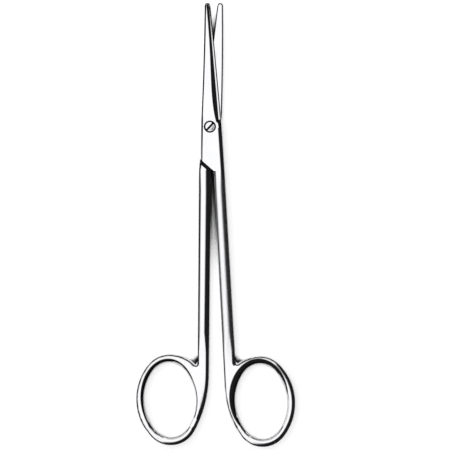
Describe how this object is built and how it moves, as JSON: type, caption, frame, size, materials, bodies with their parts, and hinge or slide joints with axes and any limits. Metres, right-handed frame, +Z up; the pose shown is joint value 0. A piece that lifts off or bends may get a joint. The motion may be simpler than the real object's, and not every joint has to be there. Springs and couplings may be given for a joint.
{
  "type": "dissecting scissors",
  "caption": "Straight dissecting scissors with slim blades, long round-edged shanks and oval finger rings; the halves cross at a lap joint and turn on a slotted screw.",
  "frame": {"origin": "on the pivot screw's axis, in the plane of the lock's underside", "axes": "+Y from the screw to the blade tips, +X to the right seen from the screw's head, +Z up along the screw, out of its slotted head"},
  "size_m": [0.0635, 0.1775, 0.0045],
  "materials": {
    "polished_steel": "polished, with faint grinding lines along the blades and shanks",
    "screw_steel": "polished and turned"
  },
  "bodies": {
    "lower_body": {"lower_half": "polished_steel", "pivot_screw": "screw_steel"},
    "upper_body": {"upper_half": "polished_steel"}
  },
  "joints": [
    {"name": "pivot", "type": "hinge", "parent": "lower_body", "child": "upper_body", "pos_m": [0, 0, 0.0022], "axis": [0, 0, 1], "range_deg": [-3.4, 130]}
  ]
}
